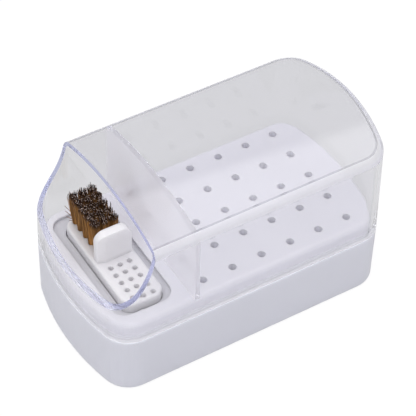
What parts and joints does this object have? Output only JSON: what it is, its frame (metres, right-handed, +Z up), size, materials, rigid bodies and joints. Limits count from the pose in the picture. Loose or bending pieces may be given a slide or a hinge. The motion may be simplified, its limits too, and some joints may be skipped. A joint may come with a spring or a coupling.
{
  "type": "nail drill bit storage box",
  "caption": "Low rounded storage box with a tray of drilled bit holes, a lift-off clear arched cover with an open hood, and a small wire cleaning brush",
  "frame": {"origin": "middle of the footprint, on the surface the box stands on", "axes": "+Z up, +X along the length away from the brush end, -Y the front long side"},
  "size_m": [0.0984, 0.0542, 0.0569],
  "materials": {
    "white_plastic": "moulded, satin gloss",
    "block_plastic": "moulded, plain",
    "clear_plastic": "polished clear plastic",
    "brush_wire": "drawn wire, dark tips"
  },
  "bodies": {
    "base": {"base_tray": "white_plastic", "hole_deck": "white_plastic"},
    "cover": {"clear_cover": "clear_plastic"},
    "brush": {"brush_block": "block_plastic", "tuft_1_1": "brush_wire", "tuft_1_2": "brush_wire", "tuft_1_3": "brush_wire", "tuft_2_1": "brush_wire", "tuft_2_2": "brush_wire", "tuft_2_3": "brush_wire", "tuft_3_1": "brush_wire", "tuft_3_2": "brush_wire", "tuft_3_3": "brush_wire", "tuft_4_1": "brush_wire", "tuft_4_2": "brush_wire", "tuft_4_3": "brush_wire", "tuft_5_1": "brush_wire", "tuft_5_2": "brush_wire", "tuft_5_3": "brush_wire"}
  },
  "joints": [
    {"name": "cover_lift", "type": "slide", "parent": "base", "child": "cover", "axis": [0, 0, 1], "range_m": [0, 0.04]},
    {"name": "brush_lift", "type": "slide", "parent": "base", "child": "brush", "axis": [0, 0, 1], "range_m": [0, 0.01]}
  ]
}
